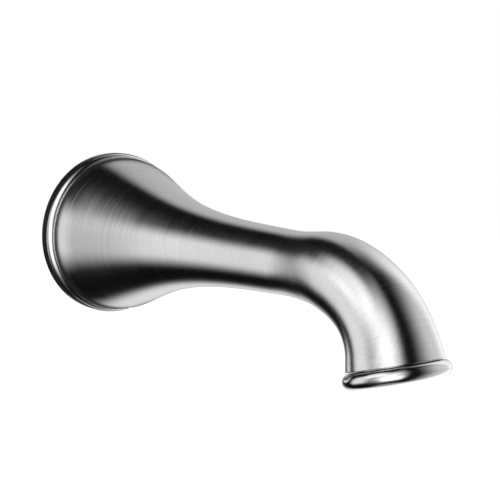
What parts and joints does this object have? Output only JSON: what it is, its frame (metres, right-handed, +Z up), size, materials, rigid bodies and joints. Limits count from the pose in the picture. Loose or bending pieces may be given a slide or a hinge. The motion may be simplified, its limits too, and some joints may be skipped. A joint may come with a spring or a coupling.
{
  "type": "wall mounted bath spout",
  "caption": "Bell-shaped wall mounted bath spout with a round flange and a bead ring that pulls down to divert the water.",
  "frame": {"origin": "centre of the wall flange's back plane, on the pipe's axis", "axes": "+X to the spout's side, +Y into the wall, +Z up; the spout runs towards -Y"},
  "size_m": [0.072, 0.2047, 0.0753],
  "materials": {
    "brushed_nickel": "brushed",
    "brass": "machined",
    "steel": "satin",
    "rubber": "matte",
    "acetal": "matte"
  },
  "bodies": {
    "spout": {"spout_body": "brushed_nickel", "wall_flange": "brushed_nickel", "wall_gasket": "rubber", "flange_o_ring": "rubber", "inlet_adapter": "brass", "adapter_o_ring_rear": "rubber", "adapter_o_ring_front": "rubber", "inlet_washer": "rubber", "valve_cartridge": "brass", "cartridge_washer": "rubber", "stem_bush": "acetal", "return_spring": "steel"},
    "diverter": {"pull_ring": "brushed_nickel", "slide_sleeve": "brushed_nickel", "sleeve_o_ring": "rubber", "ring_spider": "brass", "valve_stem": "steel", "spring_cup": "steel", "disc_washer": "rubber", "valve_disc": "brass", "stem_nut": "brass"},
    "screw_tip": {"set_screw_tip": "brass"},
    "screw": {"set_screw": "steel"}
  },
  "joints": [
    {"name": "diverter_pull", "type": "slide", "parent": "spout", "child": "diverter", "axis": [0, -0.2689, -0.9632], "range_m": [0, 0.006], "stiffness_N_per_m": 400, "springref_m": -0.003, "deforming": ["return_spring"]},
    {"name": "set_screw_feed", "type": "slide", "parent": "spout", "child": "screw_tip", "axis": [0, 0, -1], "range_m": [0, 0.003]},
    {"name": "set_screw_turn", "type": "hinge", "parent": "screw_tip", "child": "screw", "pos_m": [0, -0.014, -0.0225], "axis": [0, 0, -1], "range_deg": [0, 1081]}
  ],
  "couplings": [
    {"joint": "set_screw_turn", "follows": "set_screw_feed", "rad_per_m": 6283.2}
  ]
}
